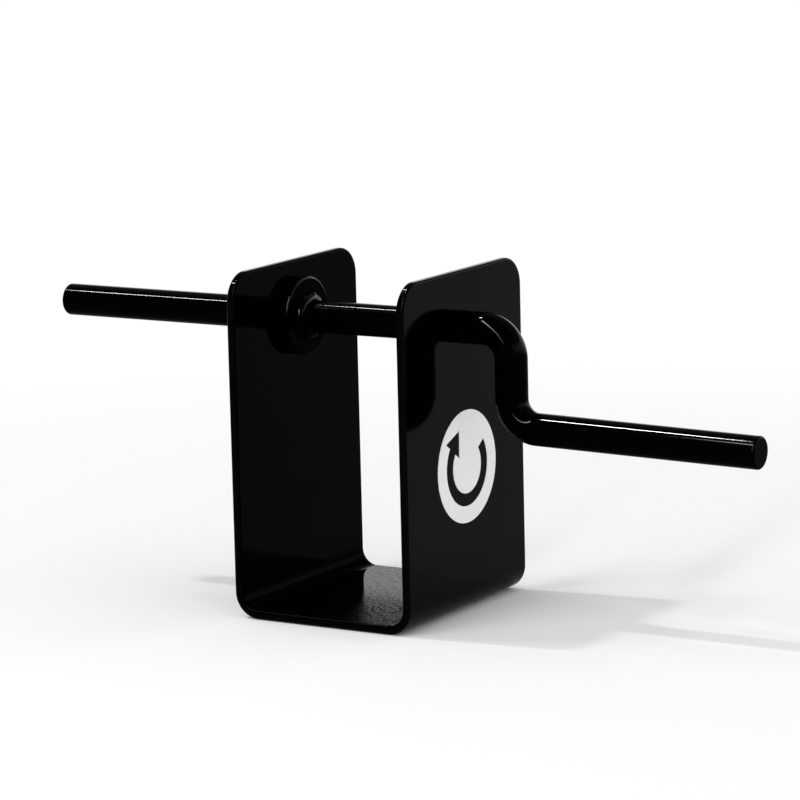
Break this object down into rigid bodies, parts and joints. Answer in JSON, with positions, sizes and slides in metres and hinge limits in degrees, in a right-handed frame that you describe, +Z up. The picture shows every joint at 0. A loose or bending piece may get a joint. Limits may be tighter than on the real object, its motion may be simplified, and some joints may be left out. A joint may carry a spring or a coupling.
{
  "type": "hand wrap winder",
  "caption": "Hand-cranked winder for boxing hand wraps: a bent round-bar crank with a long spindle turns and slides in a U-shaped stand of bent strip steel.",
  "frame": {"origin": "middle of the stand's underside, the face that rests on the table", "axes": "+X along the rod towards the grip, +Y across the strip, +Z up"},
  "size_m": [0.3097, 0.09, 0.134],
  "materials": {
    "coated_strip": "gloss black powder coat on bent strip steel, slight orange peel",
    "coated_bar": "gloss black powder coat on round steel bar",
    "coated_washer": "gloss black powder coat on a steel washer",
    "white_film": "white vinyl film, satin"
  },
  "bodies": {
    "stand": {"stand": "coated_strip", "turn_mark": "white_film"},
    "washer": {"thrust_washer": "coated_washer"},
    "crank": {"crank_rod": "coated_bar", "stop_bead": "coated_bar"}
  },
  "joints": [
    {"name": "rod_slide", "type": "slide", "parent": "stand", "child": "washer", "axis": [1, 0, 0], "range_m": [0, 0.0627]},
    {"name": "crank_turn", "type": "hinge", "parent": "washer", "child": "crank", "pos_m": [0, 0, 0.112], "axis": [1, 0, 0], "continuous": true}
  ]
}
